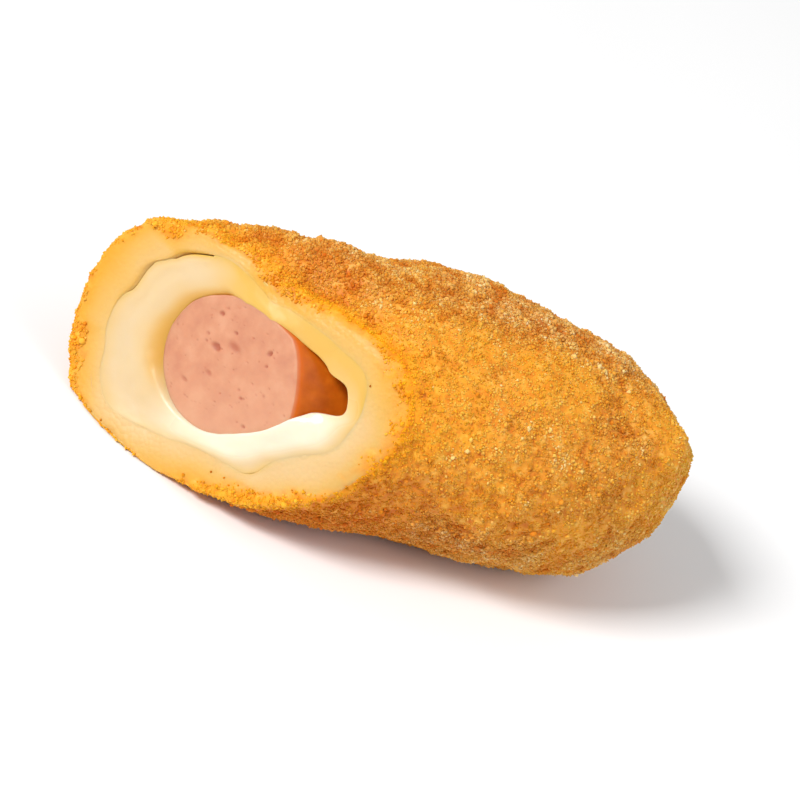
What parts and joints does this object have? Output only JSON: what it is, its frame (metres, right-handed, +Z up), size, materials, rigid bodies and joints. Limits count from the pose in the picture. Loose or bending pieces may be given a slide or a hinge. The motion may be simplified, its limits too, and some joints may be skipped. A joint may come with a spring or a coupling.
{
  "type": "sausage roll",
  "caption": "Half of a crumbed, fried sausage roll cut on the bias, showing dough wrap, melted cheese and the sausage in the middle.",
  "frame": {"origin": "on the table, under the middle of the half's bounding box", "axes": "+Y along the roll from the cut to the closed end, +Z up, +X towards the side where the cut has shortened the roll"},
  "size_m": [0.0388, 0.0872, 0.0371],
  "materials": {
    "dough": "matte crumbed crust, pale dough at the cut",
    "cheese": "melted, slightly glossy",
    "sausage": "matte cut face, slightly glossy skin"
  },
  "bodies": {
    "root": {"dough": "dough", "cheese": "cheese", "sausage": "sausage"}
  },
  "joints": []
}
